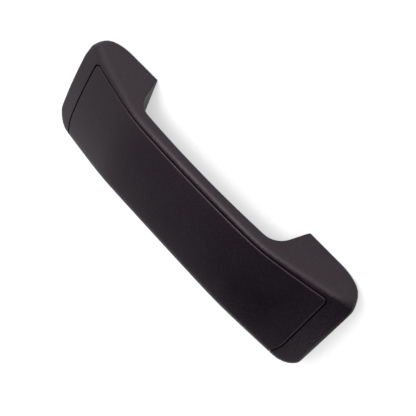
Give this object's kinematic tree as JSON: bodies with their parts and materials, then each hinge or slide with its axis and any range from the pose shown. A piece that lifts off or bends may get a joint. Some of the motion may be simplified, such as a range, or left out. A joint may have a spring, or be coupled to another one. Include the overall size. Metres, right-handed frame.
{
  "type": "tailgate interior pull handle cover",
  "caption": "Arched interior pull handle for a tailgate: a moulded frame with two feet and a finger gap, and a clip-on front cover panel.",
  "frame": {"origin": "centre of the mounting plane, midway between the two feet", "axes": "+X along the handle towards the right foot, +Y across it towards the near side whose face leans back, +Z outwards from the mounting plane"},
  "size_m": [0.22, 0.0711, 0.0307],
  "materials": {
    "frame_plastic": "fine satin grain",
    "cover_plastic": "fine satin grain",
    "bush_steel": "turned, zinc plated",
    "spring_steel": "blued spring steel",
    "pad_foam": "closed cell foam"
  },
  "bodies": {
    "root": {"handle_frame": "frame_plastic", "cover_panel": "cover_plastic", "left_near_screw_bush": "bush_steel", "left_far_screw_bush": "bush_steel", "right_near_screw_bush": "bush_steel", "right_far_screw_bush": "bush_steel", "left_near_spring_clip": "spring_steel", "left_far_spring_clip": "spring_steel", "right_near_spring_clip": "spring_steel", "right_far_spring_clip": "spring_steel", "left_anti_rattle_pad": "pad_foam", "right_anti_rattle_pad": "pad_foam"}
  },
  "joints": []
}
